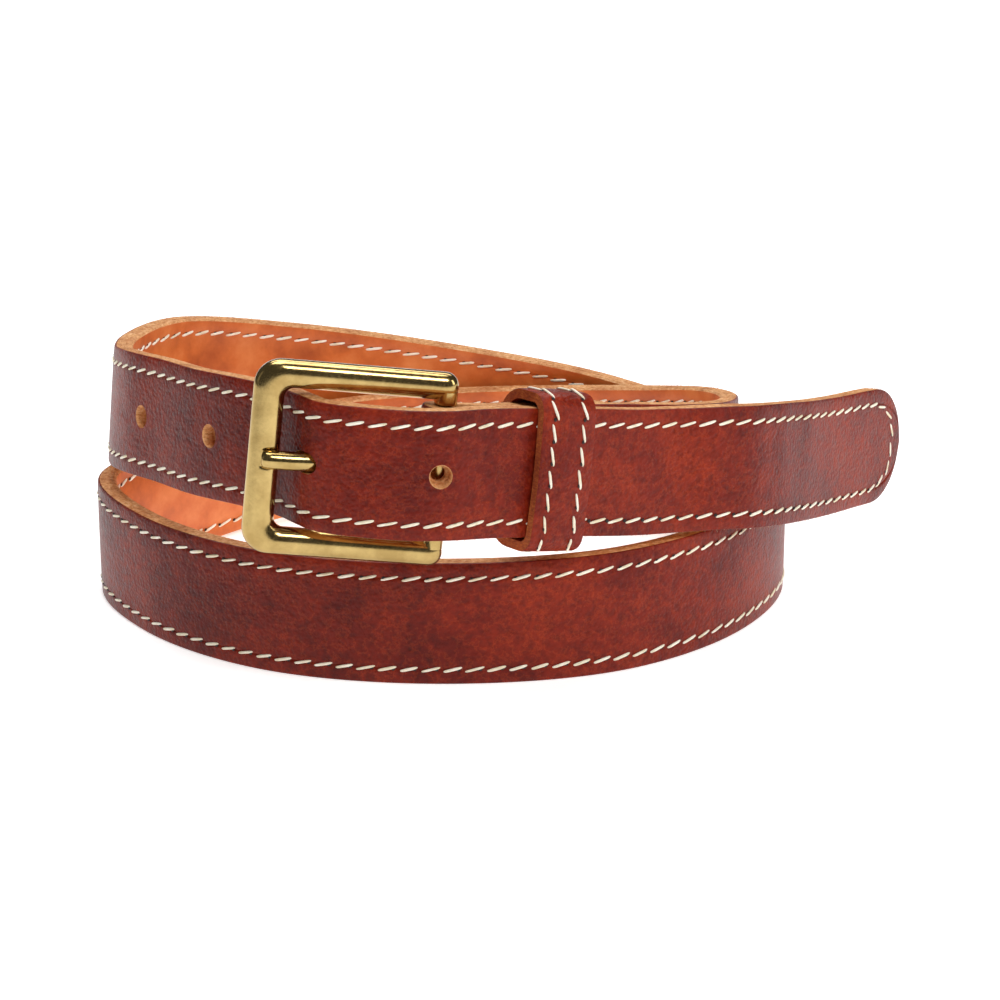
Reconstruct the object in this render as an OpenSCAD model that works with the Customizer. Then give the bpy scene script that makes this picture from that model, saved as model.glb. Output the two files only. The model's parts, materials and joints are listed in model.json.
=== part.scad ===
// Dress belt in bridle leather, coiled in two turns and buckled at the front.
// +Z is up, the belt stands on its lower edge, the buckle faces -Y.

/* [Strap] */
// Width of the strap across its face
strap_w = 28.6; // [27.6:0.1:29]
// Thickness of the face leather
face_t = 2.8; // [2.4:0.1:2.8]
// Thickness of the lining leather
lining_t = 1.7; // [1.3:0.1:1.7]
// Distance from an edge of the strap to its row of stitches
row_inset = 3.6; // [2.5:0.1:4]
// Diameter of the punched adjustment holes
hole_d = 4.8; // [4:0.1:5]

/* [Buckle] */
// Height of the frame across the strap
frame_h = 43.1; // [42.4:0.1:44]
// Height of the window that the strap passes through
window_h = 31; // [30.8:0.1:32]
// Distance from the heel bar's axis to the middle of the front bar
frame_reach = 38.1; // [37.8:0.1:38.6]
// Width of the front bar, seen from the front
front_bar_w = 6.8; // [6:0.1:7]
// Thickness of the frame, front to back
frame_t = 5.2; // [4.6:0.1:5.4]
// Radius of the heel bar
bar_r = 2; // [1.8:0.05:2]
// Radius of the prong
prong_r = 2; // [1.8:0.05:2.1]

/* [Keeper] */
// Width of the keeper along the strap
keeper_w = 14; // [12:0.5:14]
// Thickness of the keeper's leather
keeper_t = 2.2; // [1.8:0.1:2.4]
// Slack between the keeper and each edge of the strap
keeper_slack = 1.1; // [1:0.1:2]

/* [Hidden] */

// The box of the whole belt is centred on the origin by this shift.
middle = [14.2, -9.4];

// Route of the middle of the face leather's outer side: x, y, height of the lower edge, lean of
// the upper edge towards the inside of the coil in degrees. It starts at the heel bar.
first_lap = [[0.9, -79, 37.5, 3], [8.6, -75, 36.8, 4], [16.8, -70.6, 35.8, 4], [24.2, -65.9, 34.7, 4],
             [31.9, -60.7, 33.4, 3.5], [40.6, -54.3, 31.6, 3], [51.5, -45.5, 29, 2], [64, -28, 24.5, 1]];
coil = [[70.5, 0, 18.8, 0.5], [64, 31, 12.5, 0.5], [37.5, 52, 7.5, 0], [0, 60.5, 4.5, 0],
        [-39.5, 53.5, 2, 0], [-68, 29.5, 0.4, 0.5], [-84.5, -2, 0, 0], [-71, -34.5, 0, 0],
        [-41, -60.5, 0, 0], [-1, -69.5, 0, 0], [42.5, -60, 0, 0], [70, -34, 0, 0],
        [82.5, 0.5, 0, 0], [71.5, 34, 3.5, 0], [41.5, 58.5, 8.5, 0], [0.5, 67, 14.5, 0],
        [-42.5, 60, 22, 0.5], [-73.2, 37, 29.3, 3], [-82, 11, 31.3, 4.5], [-81, -9, 33.3, 5.5],
        [-76, -23.6, 35.8, 6.5]];
second_lap = [[-67.3, -36.9, 37.6, 6.5], [-56.5, -52.6, 39.2, 6], [-47, -63.2, 40.5, 5],
              [-41, -68.5, 40.8, 4.5], [-35.8, -73, 40.8, 4], [-31.7, -78.5, 40.8, 4],
              [-28.2, -82.4, 40.6, 4], [-23.5, -84.8, 40.4, 4], [-17.5, -86, 40.1, 4],
              [-9, -86.4, 39.5, 4], [2.2, -84.8, 38.9, 3],
              [10.7, -80.4, 38, 4], [19.4, -75.4, 36.6, 4], [26.5, -70.8, 35.2, 4]];
tail = [[30.4, -68.4, 34.5, 4], [37.2, -64, 33.1, 4], [44, -59.5, 31.8, 4],
        [53.5, -53.2, 30.4, 3.5], [63.2, -48.4, 29.5, 3], [70, -44.2, 28.4, 3],
        [76.6, -36.8, 26.6, 3], [84, -24.6, 23.7, 2], [92, -10.3, 20.6, 2],
        [102, 6, 17.8, 2], [112.5, 22.5, 14.9, 2]];
route = concat(first_lap, coil, second_lap, tail);
split = len(route) - len(tail);

strap_t = face_t + lining_t;
ring_step = 7;
half_w = strap_w / 2;
glue = 0.08;

// Heel bar: its place, and the lean and roll that it shares with the strap beside it.
bar_at = [-0.4, -74.2, 51.8];
bar_lean = -4;
bar_roll = 6;
frame_turn = 5.5;
fold_gap = 0.25;
fold_r = bar_r + fold_gap + face_t;
fold_len = 44;
pinch_len = 12;
slot_w = 9;

// Prong: an eye round the heel bar and a round shank that leans out to the front bar.
eye_r = 4.2;
eye_w = 6.6;
bar_play = 0.06;
shank_n = 1.7;
tip_n = 3.1;
shank_len = frame_reach - 0.7;
shank_tilt = atan((tip_n - shank_n) / frame_reach);

// The frame and the prong each turn this far on the heel bar, and clear the leather all the way.
bar_travel = 2.5;
prong_gap = 0.35;
room_start = 4;
eye_slot_turn = 12;
eye_slot_back = 7;
eye_slot_ahead = 8;

// Frame: how far the arms run past the heel bar, its corners, and the prong's notch.
arm_end = 2.5;
outer_corner_r = 6;
inner_corner_r = 1.5;
notch_gap = 0.2;
// The bar is slimmer than the bend in the leather round it, because it stands a little askew in it
bar_slack = 0.3;
pin_r = bar_r - bar_slack;

// Rows of stitches are thin ribbons.
thread_w = 0.8;
thread_t = 0.15;

// ---- Vectors -------------------------------------------------------------
function unit(v) = v / norm(v);
function xyz(p) = [p[0], p[1], p[2]];

// ---- Smooth route through the points, with chord lengths as its parameter ----
function gap_len(i) = norm(xyz(route[i + 1]) - xyz(route[i]));
function slope(i) =
    i == 0 ? (route[1] - route[0]) / gap_len(0)
    : i == len(route) - 1 ? (route[i] - route[i - 1]) / gap_len(i - 1)
    : ((route[i] - route[i - 1]) / gap_len(i - 1) * gap_len(i)
       + (route[i + 1] - route[i]) / gap_len(i) * gap_len(i - 1)) / (gap_len(i - 1) + gap_len(i));
function on_route(i, t) =
    let (t2 = t * t, t3 = t2 * t, d = gap_len(i))
    (2 * t3 - 3 * t2 + 1) * route[i] + (t3 - 2 * t2 + t) * d * slope(i)
    + (3 * t2 - 2 * t3) * route[i + 1] + (t3 - t2) * d * slope(i + 1);
function along(i, t) =
    let (a = on_route(i, max(0, t - 0.02)), b = on_route(i, min(1, t + 0.02)))
    unit(xyz(b) - xyz(a));

// A station is [middle of the outer side, direction across the strap, outward normal].
function station(i, t) =
    let (p = on_route(i, t), dir = along(i, t),
         up = unit([0, 0, 1] - dir[2] * dir), out = cross(dir, up),
         across = cos(p[3]) * up - sin(p[3]) * out,
         low = [p[0], p[1], max(0, p[2])])
    [low + across * half_w, across, cross(dir, across)];
function steps(i) = max(2, round(gap_len(i) / ring_step));
function stations(from, to) =
    [for (i = [from : to - 1]) for (k = [0 : steps(i) - 1]) station(i, k / steps(i))];

// ---- The turn round the heel bar -------------------------------------------
function lean_roll(v) =
    let (y = v[1] * cos(bar_lean) - v[2] * sin(bar_lean), z = v[1] * sin(bar_lean) + v[2] * cos(bar_lean))
    [v[0] * cos(bar_roll) + z * sin(bar_roll), y, -v[0] * sin(bar_roll) + z * cos(bar_roll)];
bar_dir = lean_roll([0, 0, 1]);
function bar_ray(a) = lean_roll([cos(a), sin(a), 0]);
turn_step = 20;
turn_from = -70;
turn_to = -290;
fold_turn = [for (a = [turn_from : -turn_step : turn_to])
             [bar_at + bar_ray(a) * fold_r, bar_dir, bar_ray(a)]];
function ease(x) = x <= 0 ? 0 : x >= 1 ? 1 : x * x * (3 - 2 * x);

// The turned-back end lies against the inner side of the first lap.
flap_lead = 9;
lap_stations = stations(1, 6);
function run(list, k) = k == 0 ? 0 : run(list, k - 1) + norm(list[k][0] - list[k - 1][0]);
function flap_station(k) =
    let (s = lap_stations[k], d = run(lap_stations, k) + flap_lead,
         inward = face_t + fold_gap + face_t + (1 - ease(d / pinch_len)) * bar_r)
    [s[0] - s[2] * inward, s[1], -s[2]];
flap = [for (k = [0 : len(lap_stations) - 1])
        if (run(lap_stations, k) + flap_lead < fold_len) flap_station(k)];

// ---- Ribbons -----------------------------------------------------------------
// Section of a ribbon at station s: from v0 to v1 across and from d0 to d1 deep.
function section(s, v0, v1, d0, d1) =
    [s[0] + s[1] * v0 - s[2] * d0, s[0] + s[1] * v1 - s[2] * d0,
     s[0] + s[1] * v1 - s[2] * d1, s[0] + s[1] * v0 - s[2] * d1];
module ribbon(rings) {
    n = len(rings);
    sides = [for (k = [0 : n - 2]) for (j = [0 : 3]) let (a = 4 * k + j, b = 4 * k + (j + 1) % 4)
             each (j < 2 ? [[a, b, b + 4], [a, b + 4, a + 4]] : [[a, b, a + 4], [b, b + 4, a + 4]])];
    polyhedron([for (r = rings) each r],
               concat(sides, [[3, 2, 1, 0], [4 * n - 4, 4 * n - 3, 4 * n - 2, 4 * n - 1]]));
}
module strip(list, v0, v1, d0, d1) { ribbon([for (s = list) section(s, v0, v1, d0, d1)]); }
module thread_rows(list, depth) {
    for (side = [-1, 1]) {
        v = side * (half_w - row_inset);
        strip(list, v - thread_w / 2, v + thread_w / 2, depth, depth + thread_t);
    }
}

// The turned-back end and the first lap meet in one ribbon.
belt_stations = concat(stations(0, split), [station(split, 0)]);
whole_face = concat([for (k = [len(flap) - 1 : -1 : 0]) flap[k]],
                    [for (k = [len(fold_turn) - 1 : -1 : 0]) fold_turn[k]],
                    [for (k = [1 : len(belt_stations) - 1]) belt_stations[k]]);
lining_start = fold_len + 4;
lining_stations = [for (k = [0 : len(belt_stations) - 1])
                   if (run(belt_stations, k) > lining_start) belt_stations[k]];

// ---- The free end ------------------------------------------------------------
tail_gap = 1.1;
tail_stations = concat([station(split, tail_gap / gap_len(split)), station(split, 0.5)],
                       stations(split + 1, len(route) - 1), [station(len(route) - 2, 1)]);
tip_round = 15;
tip_power = 2.2;
tip_blunt = 0.006;
tail_len = run(tail_stations, len(tail_stations) - 1);
function tail_half(d, inset) =
    let (left = tail_len - inset - d)
    left >= tip_round ? half_w - inset
    : (half_w - inset) * sqrt(max(tip_blunt, 1 - pow(1 - left / tip_round, tip_power)));
tip_rings = [for (d = [2, 5, 8.5, 12]) station(len(route) - 2, 1 - d / gap_len(len(route) - 2))];
tail_end = tail_stations[len(tail_stations) - 1][0];
tail_body = [for (s = tail_stations) if (norm(s[0] - tail_end) > tip_round) s];
tail_all = concat(tail_body, [for (k = [3 : -1 : 0]) tip_rings[k]], [station(len(route) - 2, 1)]);
module tail_strip(d0, d1) {
    ribbon([for (k = [0 : len(tail_all) - 1])
            let (h = tail_half(run(tail_all, k), 0)) section(tail_all[k], -h, h, d0, d1)]);
}

// ---- Frames of reference --------------------------------------------------------
module centred() { translate([-middle[0], -middle[1], 0]) children(); }
// x along the strap, -y outwards, z along the heel bar
module at_bar(turn) {
    centred() translate(bar_at) rotate([bar_lean, bar_roll, 0]) rotate([0, 0, turn]) children();
}
module on_face(s) {
    a = atan2(s[2][1], s[2][0]) + 90;
    tilt = asin(s[2][2]);
    centred() translate(s[0]) rotate([0, 0, a]) rotate([-tilt, 0, 0])
        rotate([0, asin(s[1] * [cos(a), sin(a), 0]), 0]) children();
}

// ---- Holes --------------------------------------------------------------------------
lap_start = len(first_lap) + len(coil);
// Each hole: how many points after the start of the second lap, and how far to the next one
hole_spots = [[9, 0.77], [1, 0.5], [-1, 0.65], [-3, 0.74]];
module holes() {
    for (spot = hole_spots)
        on_face(station(lap_start + spot[0], spot[1])) rotate([90, 0, 0])
            cylinder(d = hole_d, h = 4 * strap_t, center = true, $fn = 48);
}
// Room for the prong through the strap and for the groove that it presses into the lining
module prong_room() {
    for (play = [-bar_travel, 0, bar_travel])
        at_bar(frame_turn + play) translate([0, -shank_n, 0]) rotate([0, -90, shank_tilt])
            translate([0, 0, room_start])
                cylinder(r = prong_r + prong_gap, h = frame_reach - 1.3 * room_start, $fn = 48);
}
module eye_slot() {
    at_bar(eye_slot_turn) translate([-eye_slot_back, -eye_slot_back, -slot_w / 2])
        cube([eye_slot_back + eye_slot_ahead, 2 * eye_slot_back, slot_w]);
}

// ---- Pieces ---------------------------------------------------------------------------
module face_leather() {
    color("#6e2a20") difference() {
        centred() strip(whole_face, -half_w, half_w, 0, face_t);
        eye_slot();
        holes();
        prong_room();
    }
}
module lining() {
    color("#b85020") difference() {
        centred() strip(lining_stations, -half_w, half_w, face_t, strap_t);
        holes();
        prong_room();
    }
}
module face_thread() {
    color("#efe6cf") centred() thread_rows(
        [for (k = [2 : len(belt_stations) - 1]) belt_stations[k]], -thread_t - glue);
}
module lining_thread() { color("#efe6cf") centred() thread_rows(lining_stations, strap_t + glue); }
module tail_face() { color("#6e2a20") centred() tail_strip(0, face_t); }
module tail_lining() { color("#b85020") centred() tail_strip(face_t, strap_t); }
module tail_thread() {
    color("#efe6cf") centred() {
        thread_rows(tail_body, -thread_t - glue);
        thread_rows(tail_body, strap_t + glue);
    }
}
module buckle_frame() {
    color("#bea564") at_bar(frame_turn) {
        difference() {
            rotate([90, 0, 0]) linear_extrude(frame_t, center = true) difference() {
                frame_outline(-frame_reach - front_bar_w / 2, arm_end, frame_h / 2, outer_corner_r);
                frame_outline(-frame_reach + front_bar_w / 2, 2 * front_bar_w, window_h / 2,
                              inner_corner_r);
            }
            translate([-frame_reach, -tip_n, 0]) rotate([0, 90, 0])
                cylinder(r = prong_r + notch_gap, h = 2 * front_bar_w, center = true, $fn = 48);
        }
        cylinder(r = pin_r, h = window_h + 2, center = true, $fn = 64);
    }
}
module frame_outline(x0, x1, h, r) {
    for (side = [-1, 1]) translate([x0 + r, side * (h - r)]) circle(r, $fn = 48);
    translate([x0 + r, -h]) square([x1 - x0 - r, 2 * h]);
    translate([x0, -h + r]) square([r, 2 * h - 2 * r]);
}
module prong() {
    color("#bea564") at_bar(frame_turn) difference() {
        union() {
            cylinder(r = eye_r, h = eye_w, center = true, $fn = 64);
            translate([0, -shank_n, 0]) rotate([0, -90, shank_tilt]) {
                cylinder(r = prong_r, h = shank_len, $fn = 48);
                translate([0, 0, shank_len]) sphere(prong_r, $fn = 48);
            }
        }
        cylinder(r = pin_r + bar_play, h = eye_w + 2, center = true, $fn = 64);
    }
}

// The keeper is a closed band of leather round both laps.
keeper_station = station(split - 2, 0.63);
keeper_out = 0.5;
keeper_room = 1.9;
keeper_row_inset = 3.05;
keeper_in = strap_t + 2 * face_t + keeper_room;
module keeper_ring(grow, width) {
    x = half_w + keeper_slack + grow;
    out = keeper_out + grow;
    deep = keeper_in + grow;
    translate([-width / 2, -out, -x]) cube([width, out + deep, 2 * x]);
}
module keeper() {
    color("#6e2a20") on_face(keeper_station) difference() {
        keeper_ring(keeper_t, keeper_w);
        keeper_ring(0, keeper_w + 2);
    }
}
module keeper_thread() {
    color("#efe6cf") on_face(keeper_station) for (side = [-1, 1])
        translate([side * (keeper_w / 2 - keeper_row_inset), -keeper_out - keeper_t - thread_t / 2 - glue, 0])
            cube([thread_w, thread_t, strap_w], center = true);
}
// Stitches that close the turned-back end, seen on its inner side
module fold_thread() {
    color("#efe6cf") centred() thread_rows(
        [for (k = [3 : len(flap) - 1]) flap[k]], -thread_t - glue);
}

face_leather();
lining();
face_thread();
lining_thread();
tail_face();
tail_lining();
tail_thread();
buckle_frame();
prong();
keeper();
keeper_thread();
fold_thread();
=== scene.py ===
"""Dress belt in bridle leather, coiled in two turns and buckled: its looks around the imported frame."""

import json
import logging
import math
from dataclasses import dataclass, field
from enum import Enum

import bmesh
import bpy
import numpy as np
from mathutils import Matrix, Vector

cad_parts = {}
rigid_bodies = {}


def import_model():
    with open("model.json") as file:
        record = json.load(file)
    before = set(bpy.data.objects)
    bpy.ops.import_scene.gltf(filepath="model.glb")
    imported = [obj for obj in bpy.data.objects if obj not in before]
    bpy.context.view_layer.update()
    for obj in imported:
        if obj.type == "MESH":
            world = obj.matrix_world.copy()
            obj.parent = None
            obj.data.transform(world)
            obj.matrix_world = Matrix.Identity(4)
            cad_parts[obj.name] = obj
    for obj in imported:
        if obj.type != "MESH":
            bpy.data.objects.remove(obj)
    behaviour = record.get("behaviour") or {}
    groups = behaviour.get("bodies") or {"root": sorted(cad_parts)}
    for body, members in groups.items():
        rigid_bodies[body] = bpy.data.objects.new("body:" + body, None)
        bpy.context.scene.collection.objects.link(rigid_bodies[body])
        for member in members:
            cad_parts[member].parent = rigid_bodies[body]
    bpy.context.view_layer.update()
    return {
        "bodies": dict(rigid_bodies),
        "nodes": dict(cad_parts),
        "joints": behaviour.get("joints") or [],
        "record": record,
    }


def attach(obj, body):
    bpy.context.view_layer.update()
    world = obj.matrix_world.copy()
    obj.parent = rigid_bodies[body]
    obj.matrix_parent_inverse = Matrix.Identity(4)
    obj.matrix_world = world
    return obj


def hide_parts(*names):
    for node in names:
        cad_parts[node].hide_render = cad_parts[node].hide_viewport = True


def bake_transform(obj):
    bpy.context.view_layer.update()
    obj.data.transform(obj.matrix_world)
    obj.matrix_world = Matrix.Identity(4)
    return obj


logging.basicConfig(level=logging.INFO, format="%(message)s")
log = logging.getLogger("belt")

MM = 0.001

# Route of the middle of the strap's outer side, in mm: x, y, height of the lower edge, lean of
# the upper edge towards the inside of the coil in degrees. It starts at the heel bar.
ROUTE = [
    (0.9, -79, 37.5, 3), (8.6, -75, 36.8, 4), (16.8, -70.6, 35.8, 4), (24.2, -65.9, 34.7, 4),
    (31.9, -60.7, 33.4, 3.5), (40.6, -54.3, 31.6, 3), (51.5, -45.5, 29, 2), (64, -28, 24.5, 1),
    (70.5, 0, 18.8, 0.5), (64, 31, 12.5, 0.5), (37.5, 52, 7.5, 0), (0, 60.5, 4.5, 0),
    (-39.5, 53.5, 2, 0), (-68, 29.5, 0.4, 0.5), (-84.5, -2, 0, 0), (-71, -34.5, 0, 0),
    (-41, -60.5, 0, 0), (-1, -69.5, 0, 0), (42.5, -60, 0, 0), (70, -34, 0, 0),
    (82.5, 0.5, 0, 0), (71.5, 34, 3.5, 0), (41.5, 58.5, 8.5, 0), (0.5, 67, 14.5, 0),
    (-42.5, 60, 22, 0.5), (-73.2, 37, 29.3, 3), (-82, 11, 31.3, 4.5), (-81, -9, 33.3, 5.5),
    (-76, -23.6, 35.8, 6.5), (-67.3, -36.9, 37.6, 6.5), (-56.5, -52.6, 39.2, 6),
    (-47, -63.2, 40.5, 5), (-41, -68.5, 40.8, 4.5), (-35.8, -73, 40.8, 4), (-31.7, -78.5, 40.8, 4),
    (-28.2, -82.4, 40.6, 4), (-23.5, -84.8, 40.4, 4), (-17.5, -86, 40.1, 4),
    (-9, -86.4, 39.5, 4), (2.2, -84.8, 38.9, 3), (10.7, -80.4, 38, 4), (19.4, -75.4, 36.6, 4),
    (26.5, -70.8, 35.2, 4), (30.4, -68.4, 34.5, 4),
    (37.2, -64, 33.1, 4), (44, -59.5, 31.8, 4), (53.5, -53.2, 30.4, 3.5), (63.2, -48.4, 29.5, 3),
    (70, -44.2, 28.4, 3), (76.6, -36.8, 26.6, 3), (84, -24.6, 23.7, 2), (92, -10.3, 20.6, 2),
    (102, 6, 17.8, 2), (112.5, 22.5, 14.9, 2),
]
# The route's origin, moved to the middle of the belt's box.
MIDDLE = Vector((14.2, -9.4, 0))
SPLIT = 43  # the route point where the free end starts
BEND_END = SPLIT + 4  # the route point where the free end's bend is over
KEEPER_POINT, KEEPER_SHARE = SPLIT - 2, 0.63  # the keeper's place: a route point and a share of the way on


class Side(Enum):
    """The two sides of a strap, by the way their normal points."""

    FACE = 1
    LINING = -1


@dataclass(frozen=True)
class Strap:
    """Sizes of the strap, in mm."""

    width: float = 28.6
    face: float = 2.8
    lining: float = 1.7
    row_inset: float = 3.6
    hole: float = 4.8

    @property
    def half(self) -> float:
        """Half of the strap's width."""
        return self.width / 2

    @property
    def thick(self) -> float:
        """Both layers together."""
        return self.face + self.lining


@dataclass
class Station:
    """One place on the strap: the middle of a side, with its own directions, in mm."""

    mid: Vector
    across: Vector
    normal: Vector
    distance: float = 0.0

    @property
    def along(self) -> Vector:
        """The direction in which the strap runs."""
        return self.across.cross(self.normal)

    def at(self, v: float, depth: float) -> Vector:
        """A point v across the strap and depth below its outer side."""
        return self.mid + self.across * v - self.normal * depth


@dataclass
class Route:
    """The smooth way that the strap takes, with chord lengths as its parameter."""

    points: list
    width: float

    def _chord(self, i: int) -> float:
        """Distance from point i to the next one."""
        return float(np.linalg.norm(np.subtract(self.points[i + 1][:3], self.points[i][:3])))

    def _slope(self, i: int) -> np.ndarray:
        """Slope at point i, weighted by the chords on its two sides."""
        p = np.array(self.points, float)
        if i == 0:
            return (p[1] - p[0]) / self._chord(0)
        if i == len(p) - 1:
            return (p[i] - p[i - 1]) / self._chord(i - 1)
        before, after = self._chord(i - 1), self._chord(i)
        return ((p[i] - p[i - 1]) / before * after + (p[i + 1] - p[i]) / after * before) / (before + after)

    def _raw(self, i: int, t: float) -> np.ndarray:
        """The route's four values at share t of the way from point i to the next."""
        p, d = np.array(self.points, float), self._chord(i)
        return ((2 * t**3 - 3 * t**2 + 1) * p[i] + (t**3 - 2 * t**2 + t) * d * self._slope(i)
                + (3 * t**2 - 2 * t**3) * p[i + 1] + (t**3 - t**2) * d * self._slope(i + 1))

    def station(self, i: int, t: float) -> Station:
        """The strap's station at share t of the way from point i to the next."""
        here = self._raw(i, t)
        ahead, behind = self._raw(i, min(1, t + 0.02)), self._raw(i, max(0, t - 0.02))
        run = Vector((ahead - behind)[:3]).normalized()
        up = (Vector((0, 0, 1)) - run * run.z).normalized()
        lean = math.radians(here[3])
        across = math.cos(lean) * up - math.sin(lean) * run.cross(up)
        low = Vector((here[0], here[1], max(0.0, here[2]))) - MIDDLE
        return Station(low + across * self.width / 2, across, run.cross(across))

    def stations(self, first: float, last: float, step: float) -> list:
        """Stations between two places on the route.

        Args:
            first: route point and share, as one number.
            last: the same for the end.
            step: distance between stations in mm.

        Returns:
            The stations, each with its distance from the first one.
        """
        found: list = []
        for i in range(int(first), math.ceil(last)):
            low, high = max(first - i, 0), min(last - i, 1)
            count = max(1, round(self._chord(i) * (high - low) / step))
            found += [self.station(i, low + (high - low) * k / count) for k in range(count)]
        found.append(self.station(int(math.ceil(last)) - 1, last - math.ceil(last) + 1))
        return measured(found)


def measured(stations: list) -> list:
    """The same stations, with their distance from the first one filled in."""
    total = 0.0
    for k, one in enumerate(stations):
        total += (one.mid - stations[k - 1].mid).length if k else 0.0
        one.distance = total
    return stations


def ease(x: float) -> float:
    """Smooth step from 0 to 1."""
    x = min(1.0, max(0.0, x))
    return x * x * (3 - 2 * x)


# ---- Small tools ---------------------------------------------------------------------------


def linear(hex_colour: str) -> tuple:
    """An sRGB hex colour as linear RGBA."""
    parts = [int(hex_colour[k:k + 2], 16) / 255 for k in (1, 3, 5)]
    return tuple(c / 12.92 if c <= 0.04045 else ((c + 0.055) / 1.055) ** 2.4 for c in parts) + (1.0,)


def add_node(tree: bpy.types.NodeTree, kind: str, links: dict | None = None, out: int | str | None = 0,
             stops: tuple = (), **settings) -> bpy.types.NodeSocket | bpy.types.Node:
    """Adds a node to a tree.

    Args:
        tree: the tree that gets the node.
        kind: the node's type name.
        links: input name or number -> an output socket to link, or a value to set.
        out: name or number of the output to return, or None for the node itself.
        stops: (position, hex colour) stops, where the node is a colour ramp.
        **settings: attributes of the node.

    Returns:
        The output socket, or the new node.
    """
    node = tree.nodes.new(kind)
    for name, value in settings.items():
        setattr(node, name, value)
    for name, value in (links or {}).items():
        if isinstance(value, bpy.types.NodeSocket):
            tree.links.new(value, node.inputs[name])
        else:
            node.inputs[name].default_value = value
    if stops:
        elements = node.color_ramp.elements
        while len(elements) < len(stops):
            elements.new(0.5)
        for element, (place, colour) in zip(elements, stops):
            element.position = place
            element.color = linear(colour)
    return node if out is None else node.outputs[out]


def mesh_object(name: str, points: list, faces: list, slots: list, materials: list,
                uvs: list | None = None, smooth_angle: float = 40.0) -> bpy.types.Object:
    """Makes a mesh object from points in mm.

    Args:
        name: the piece's name.
        points: vertices in mm.
        faces: vertex numbers of each face.
        slots: material slot of each face.
        materials: the piece's materials.
        uvs: one (u, v) for each vertex, in mm, or None.
        smooth_angle: edges sharper than this many degrees stay crisp.

    Returns:
        The object, at the origin.
    """
    mesh = bpy.data.meshes.new(name)
    mesh.from_pydata([Vector(p) * MM for p in points], [], faces)
    for material in materials:
        mesh.materials.append(material)
    mesh.polygons.foreach_set("material_index", slots)
    if uvs:
        layer = mesh.uv_layers.new(name="strap")
        for corner in mesh.loops:
            layer.data[corner.index].uv = [c * MM for c in uvs[corner.vertex_index]]
    mesh.polygons.foreach_set("use_smooth", [True] * len(mesh.polygons))
    mesh.set_sharp_from_angle(angle=math.radians(smooth_angle))
    mesh.update()
    piece = bpy.data.objects.new(name, mesh)
    bpy.context.scene.collection.objects.link(piece)
    return piece


def baked(piece: bpy.types.Object) -> bpy.types.Object:
    """Turns a piece with modifiers into a plain mesh."""
    graph = bpy.context.evaluated_depsgraph_get()
    graph.update()
    final = bpy.data.meshes.new_from_object(piece.evaluated_get(graph))
    piece.modifiers.clear()
    piece.data = final
    return piece


def outward(piece: bpy.types.Object) -> bpy.types.Object:
    """Merges doubles and turns every face of a closed piece outwards."""
    work = bmesh.new()
    work.from_mesh(piece.data)
    bmesh.ops.remove_doubles(work, verts=work.verts, dist=1e-6)
    bmesh.ops.recalc_face_normals(work, faces=work.faces)
    work.to_mesh(piece.data)
    work.free()
    return piece


def combined(piece: bpy.types.Object, others: list, operation: str, crisp: float = 40.0) -> bpy.types.Object:
    """Cuts closed shapes out of a piece, or joins them to it, and removes them.

    Args:
        piece: the piece that changes.
        others: closed objects.
        operation: DIFFERENCE to cut, UNION to join.
        crisp: edges sharper than this many degrees stay crisp.

    Returns:
        The piece, as a plain mesh.
    """
    for other in others:
        modifier = piece.modifiers.new("combine", "BOOLEAN")
        modifier.object = other
        modifier.operation = operation
        modifier.solver = "EXACT"
    baked(piece)
    for other in others:
        bpy.data.objects.remove(other)
    piece.data.set_sharp_from_angle(angle=math.radians(crisp))
    return piece


def circle(count: int) -> list:
    """Cosine and sine of evenly spaced angles round a circle."""
    return [(math.cos(a), math.sin(a)) for a in np.linspace(0, 2 * math.pi, count, endpoint=False)]


def tube(name: str, rings: list, materials: list, slot: int = 0, crisp: float = 40.0) -> bpy.types.Object:
    """A closed tube through rings of points.

    Args:
        name: the piece's name.
        rings: lists of points in mm, equally many in each.
        materials: the piece's materials.
        slot: material slot of every face.
        crisp: edges sharper than this many degrees stay crisp.

    Returns:
        The closed piece.
    """
    side, last = len(rings[0]), (len(rings) - 1) * len(rings[0])
    faces = [(k + j, k + (j + 1) % side, k + side + (j + 1) % side, k + side + j)
             for k in range(0, last, side) for j in range(side)]
    faces += [tuple(range(side)), tuple(range(last, last + side))[::-1]]
    points = [point for ring in rings for point in ring]
    return outward(mesh_object(name, points, faces, [slot] * len(faces), materials, None, crisp))


def swept(name: str, stations: list, profile: list, materials: list, slots: list,
          narrow: list | None = None) -> bpy.types.Object:
    """Sweeps a closed profile along stations, with closed ends.

    Args:
        name: the piece's name.
        stations: where the profile stands.
        profile: (v, depth) points of the section, in mm, in order round it.
        materials: the piece's materials.
        slots: material slot of the face that starts at each profile point.
        narrow: for each station, how much of the width is there, or None.

    Returns:
        The closed piece.
    """
    n, points, uvs, faces, face_slots = len(profile), [], [], [], []
    middle = sum(depth for _, depth in profile) / n
    for k, one in enumerate(stations):
        share = narrow[k] if narrow else 1.0
        points += [one.at(v * share, depth) for v, depth in profile]
        uvs += [(one.distance, v * share) for v, depth in profile]
    for k in range(len(stations) - 1):
        for j in range(n):
            a, b = k * n + j, k * n + (j + 1) % n
            faces.append((a, b, b + n, a + n))
            face_slots.append(slots[j])
    for k, turn in ((0, False), (len(stations) - 1, True)):
        points.append(stations[k].at(0, middle))
        uvs.append((stations[k].distance, 0))
        hub = len(points) - 1
        for j in range(n):
            a, b = k * n + j, k * n + (j + 1) % n
            faces.append((hub, a, b) if turn else (hub, b, a))
            face_slots.append(slots[n // 2 + 1])
    return outward(mesh_object(name, points, faces, face_slots, materials, uvs))


# ---- Finishes ------------------------------------------------------------------------------


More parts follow.
